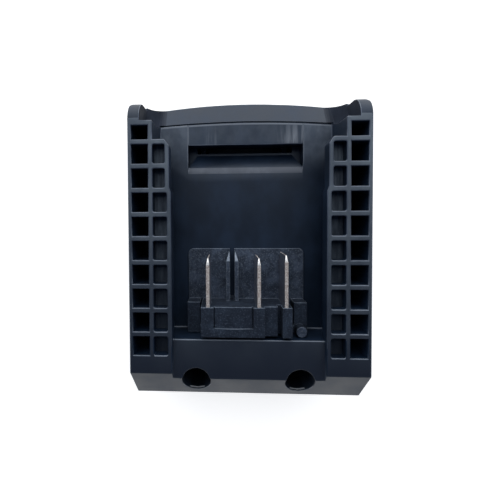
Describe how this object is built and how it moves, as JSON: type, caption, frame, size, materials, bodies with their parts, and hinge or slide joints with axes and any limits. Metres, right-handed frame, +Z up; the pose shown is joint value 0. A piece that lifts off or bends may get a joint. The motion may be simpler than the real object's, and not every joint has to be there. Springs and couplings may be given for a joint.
{
  "type": "tool battery adapter",
  "caption": "Slide-on adapter with a railed battery channel, blade terminals and a stop block on top, and a T-shaped deck with sprung contacts and a release latch below.",
  "frame": {"origin": "Middle of the deck face that slides into the tool, at the middle of the overall box", "axes": "X across both slides, Y along them from the stop block to the open entry end, Z up from the deck face to the rail tops"},
  "size_m": [0.079, 0.1068, 0.04],
  "materials": {
    "shell_plastic": "moulded glass-filled nylon, fine satin texture",
    "latch_plastic": "moulded acetal, satin",
    "filled_nylon": "glass-fibre nylon, matte and speckled",
    "nickel_plate": "nickel-plated brass, fine grain",
    "contact_brass": "bright strip",
    "zinc_steel": "zinc plated",
    "black_steel": "black oxide",
    "spring_steel": "drawn wire",
    "red_insulation": "satin",
    "yellow_insulation": "satin",
    "black_insulation": "satin",
    "shrink_sleeve": "satin"
  },
  "bodies": {
    "housing": {"battery_shell": "shell_plastic", "tool_shell": "shell_plastic", "terminal_block": "filled_nylon", "positive_blade": "nickel_plate", "signal_blade": "nickel_plate", "negative_blade": "nickel_plate", "block_screws": "zinc_steel", "contact_holder": "filled_nylon", "positive_clip": "contact_brass", "signal_clip": "contact_brass", "negative_clip": "contact_brass", "holder_screws": "zinc_steel", "positive_lead": "red_insulation", "signal_lead": "yellow_insulation", "negative_lead": "black_insulation", "positive_sleeves": "shrink_sleeve", "signal_sleeves": "shrink_sleeve", "negative_sleeves": "shrink_sleeve", "latch_springs": "spring_steel", "front_screws": "black_steel", "rear_screws": "black_steel"},
    "latch": {"release_latch": "latch_plastic"}
  },
  "joints": [
    {"name": "latch_slide", "type": "slide", "parent": "housing", "child": "latch", "axis": [0, 0, 1], "range_m": [0, 0.0035], "stiffness_N_per_m": 400, "springref_m": -0.003, "deforming": ["latch_springs"]}
  ]
}
